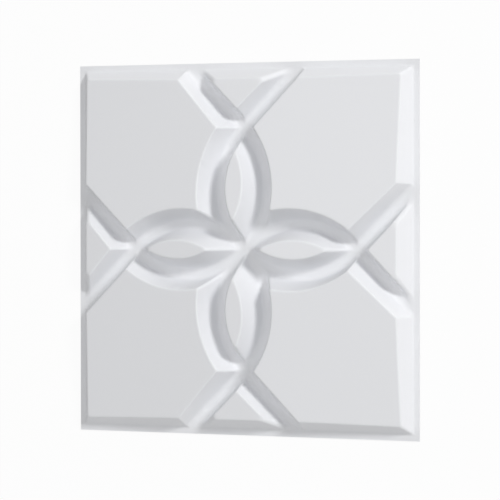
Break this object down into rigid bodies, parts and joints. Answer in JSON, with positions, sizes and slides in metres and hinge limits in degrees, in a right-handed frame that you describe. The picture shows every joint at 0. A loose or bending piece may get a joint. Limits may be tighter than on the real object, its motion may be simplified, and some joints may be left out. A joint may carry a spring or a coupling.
{
  "type": "wall panel tile",
  "caption": "Square relief wall tile pressed from one white plastic sheet, with a four-petal flower of round-bottomed grooves, sloping tops and a hollow back",
  "frame": {"origin": "centre of the open back, on the plane that the rim and the groove backs rest on", "axes": "+Z out of the decorated face, which lies up; +X and +Y along the tile's edges"},
  "size_m": [0.3, 0.3, 0.0273],
  "materials": {
    "white_pvc": "matte white, slightly satin"
  },
  "bodies": {
    "root": {"wall_panel_tile": "white_pvc"}
  },
  "joints": []
}
